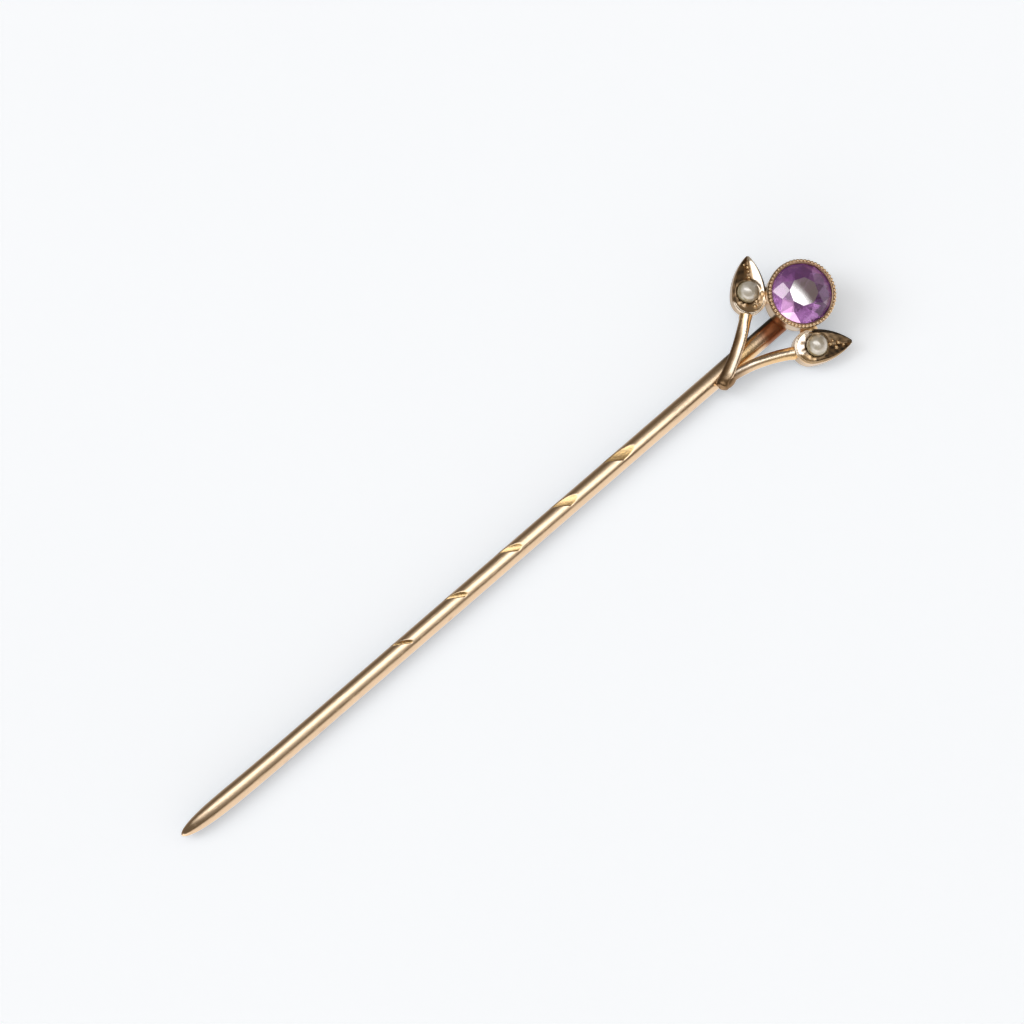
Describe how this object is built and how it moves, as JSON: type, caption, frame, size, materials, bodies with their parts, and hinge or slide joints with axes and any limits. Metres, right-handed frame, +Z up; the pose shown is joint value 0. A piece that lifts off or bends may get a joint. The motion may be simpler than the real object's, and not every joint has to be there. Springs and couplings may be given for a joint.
{
  "type": "stick pin",
  "caption": "Gold stick pin with a pointed round stem, grip scoops, a forked stalk with pearl-set leaves and a faceted amethyst in a beaded collet.",
  "frame": {"origin": "middle of the pin's bounding box, on the surface it lies on", "axes": "+X along the stem from the point to the head, +Z up, so +Y is the head's left side"},
  "size_m": [0.0568, 0.009, 0.0039],
  "materials": {
    "rose_gold": "polished rose gold, worn soft",
    "amethyst": "faceted and polished amethyst",
    "pearl": "nacre of a seed pearl"
  },
  "bodies": {
    "root": {"gold_mount": "rose_gold", "amethyst": "amethyst", "pearl_left": "pearl", "pearl_right": "pearl"}
  },
  "joints": []
}
